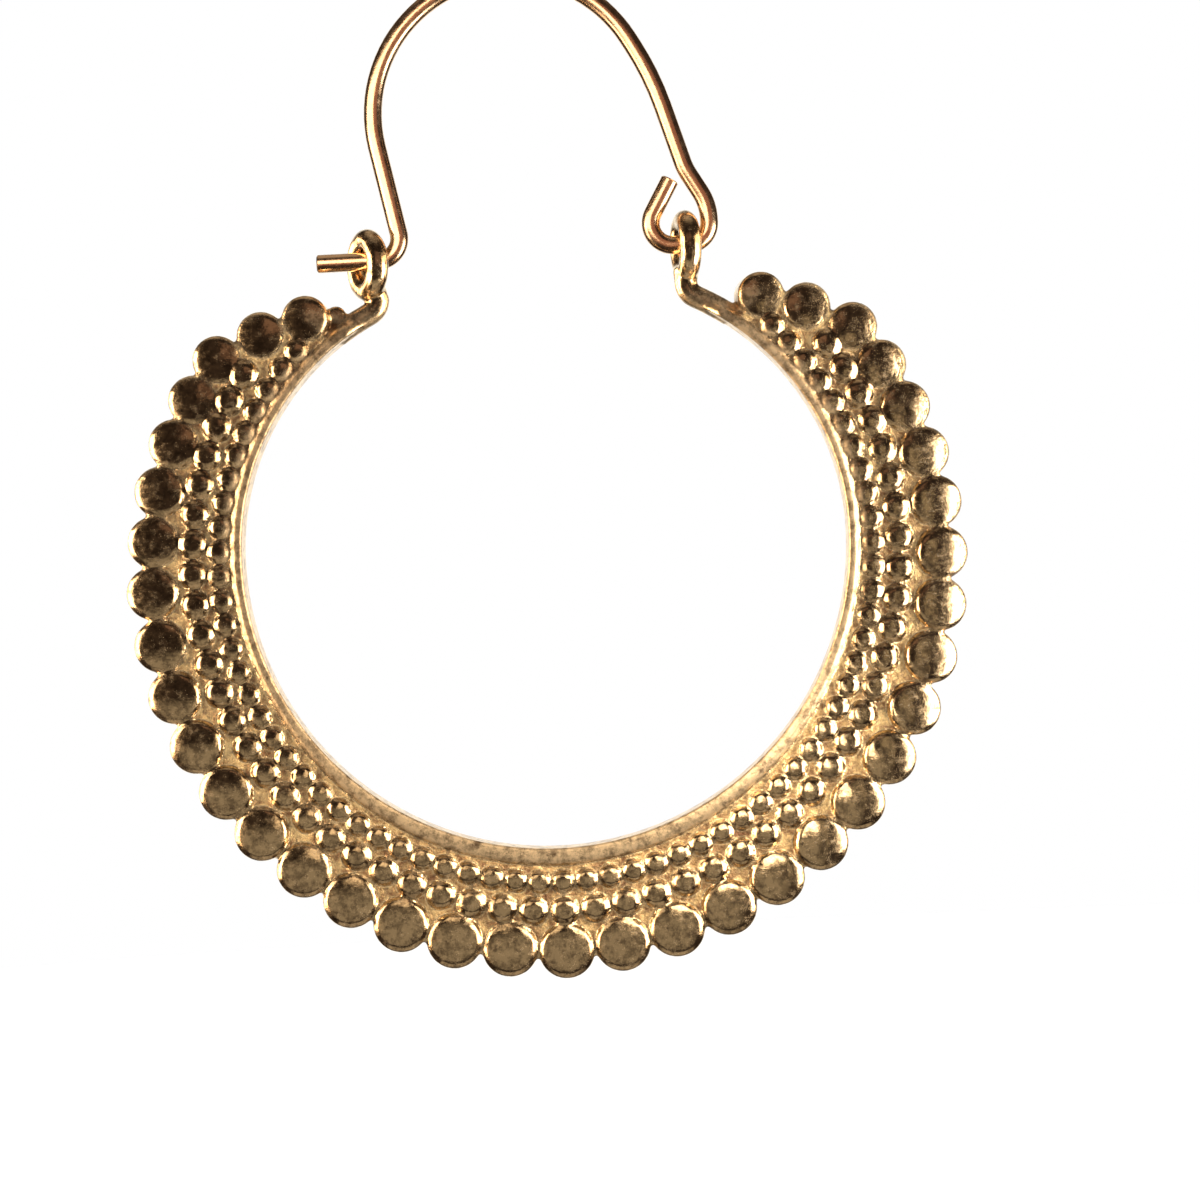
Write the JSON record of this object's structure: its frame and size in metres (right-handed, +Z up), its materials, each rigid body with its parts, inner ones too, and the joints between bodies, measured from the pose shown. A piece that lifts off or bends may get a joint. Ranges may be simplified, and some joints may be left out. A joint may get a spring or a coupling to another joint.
{
  "type": "hoop drop earring",
  "caption": "Open hoop drop earring with a border of balls and rows of granules, hanging on a bent ear wire that hooks through an eye at each end of the hoop.",
  "frame": {"origin": "top of the ear wire's arch on the wire's centreline, where the earring hangs in the ear lobe", "axes": "+Z up, +X to the right as seen from the front, the front face looks towards -Y"},
  "size_m": [0.04, 0.0032, 0.0482],
  "materials": {
    "antique_brass": "antiqued",
    "bright_brass": "satin"
  },
  "bodies": {
    "wire": {"ear_wire": "bright_brass"},
    "hoop": {"hoop": "antique_brass"}
  },
  "joints": [
    {"name": "hoop_swing", "type": "hinge", "parent": "wire", "child": "hoop", "pos_m": [0, 0, -0.01327], "axis": [1, 0, 0], "range_deg": [-150, 150]}
  ]
}
